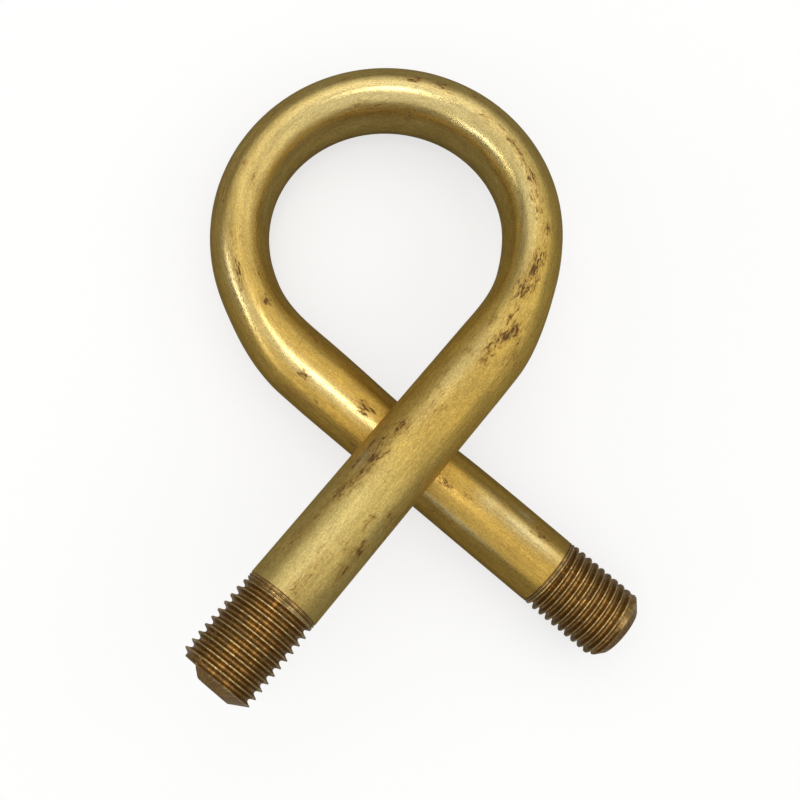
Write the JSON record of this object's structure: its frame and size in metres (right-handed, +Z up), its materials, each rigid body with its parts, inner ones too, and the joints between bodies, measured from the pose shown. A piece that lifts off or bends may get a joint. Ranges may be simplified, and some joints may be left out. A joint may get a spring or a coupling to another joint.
{
  "type": "pressure gauge siphon",
  "caption": "Bent brass tube with a full pigtail loop and male pipe threads at both ends, which holds condensate between a steam line and a gauge.",
  "frame": {"origin": "on the table, under the middle of the part's bounding box", "axes": "+Z up from the table; +Y from the crossing of the legs towards the top of the loop; +X to the steam leg's side"},
  "size_m": [0.0788, 0.1114, 0.0347],
  "materials": {
    "brass": "bare brass, tarnished and handled, brown in the thread roots"
  },
  "bodies": {
    "root": {"siphon_tube": "brass"}
  },
  "joints": []
}
